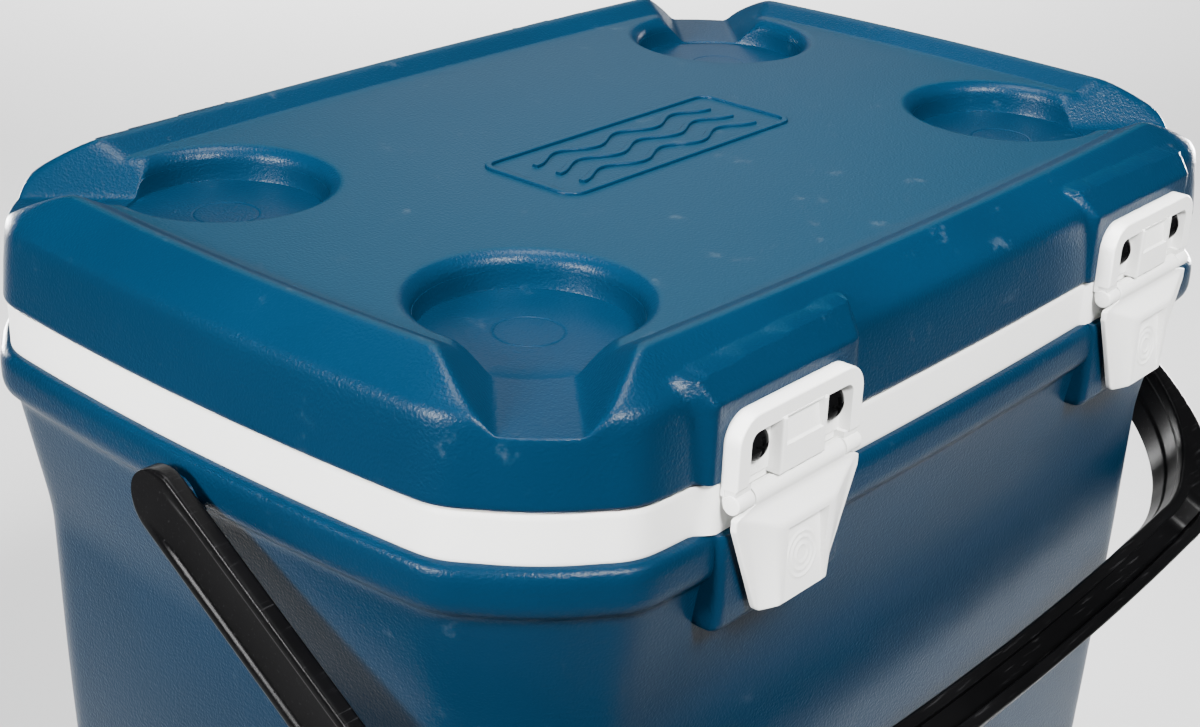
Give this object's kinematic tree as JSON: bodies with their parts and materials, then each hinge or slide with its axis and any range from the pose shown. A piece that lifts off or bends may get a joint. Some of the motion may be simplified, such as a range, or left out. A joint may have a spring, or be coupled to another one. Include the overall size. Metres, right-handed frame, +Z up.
{
  "type": "hard-sided cool box",
  "caption": "Insulated hard plastic cool box: blue body and lid, white liner band, front toggle latches, cup holders in the lid and a swinging black bail handle.",
  "frame": {"origin": "middle of the underside of the base", "axes": "+X along the length, -Y towards the latch side, +Z up"},
  "size_m": [0.493, 0.3628, 0.4195],
  "materials": {
    "blue_shell": "satin",
    "white_liner": "satin",
    "white_fitting": "satin",
    "black_handle": "satin",
    "black_screw": "gloss",
    "steel_pin": "satin",
    "foam": "matte"
  },
  "bodies": {
    "body": {"body_shell": "blue_shell", "body_collar": "blue_shell", "body_liner": "white_liner", "body_foam": "foam", "hinge_body_leaf_left": "white_fitting", "hinge_body_leaf_right": "white_fitting", "hinge_pin_left": "steel_pin", "hinge_pin_right": "steel_pin", "hinge_body_screws": "black_screw"},
    "lid": {"lid_shell": "blue_shell", "lid_liner": "white_liner", "lid_foam": "foam", "latch_plate_left": "white_fitting", "latch_plate_right": "white_fitting", "latch_pin_left": "steel_pin", "latch_pin_right": "steel_pin", "latch_screws": "black_screw", "hinge_lid_leaf_left": "white_fitting", "hinge_lid_leaf_right": "white_fitting", "hinge_lid_screws": "black_screw"},
    "lever_left": {"latch_lever_left": "white_fitting"},
    "lever_right": {"latch_lever_right": "white_fitting"},
    "handle": {"bail_handle": "black_handle", "handle_pin_left": "black_handle", "handle_pin_right": "black_handle"}
  },
  "joints": [
    {"name": "lid_hinge", "type": "hinge", "parent": "body", "child": "lid", "pos_m": [0, 0.1685, 0.3679], "axis": [-1, 0, 0], "range_deg": [0, 95]},
    {"name": "latch_left", "type": "hinge", "parent": "lid", "child": "lever_left", "pos_m": [-0.119, -0.1657, 0.3705], "axis": [-1, 0, 0], "range_deg": [0, 95]},
    {"name": "latch_right", "type": "hinge", "parent": "lid", "child": "lever_right", "pos_m": [0.119, -0.1657, 0.3705], "axis": [-1, 0, 0], "range_deg": [0, 95]},
    {"name": "handle_swing", "type": "hinge", "parent": "body", "child": "handle", "pos_m": [0, 0, 0.343], "axis": [-1, 0, 0], "range_deg": [0, 250]}
  ]
}
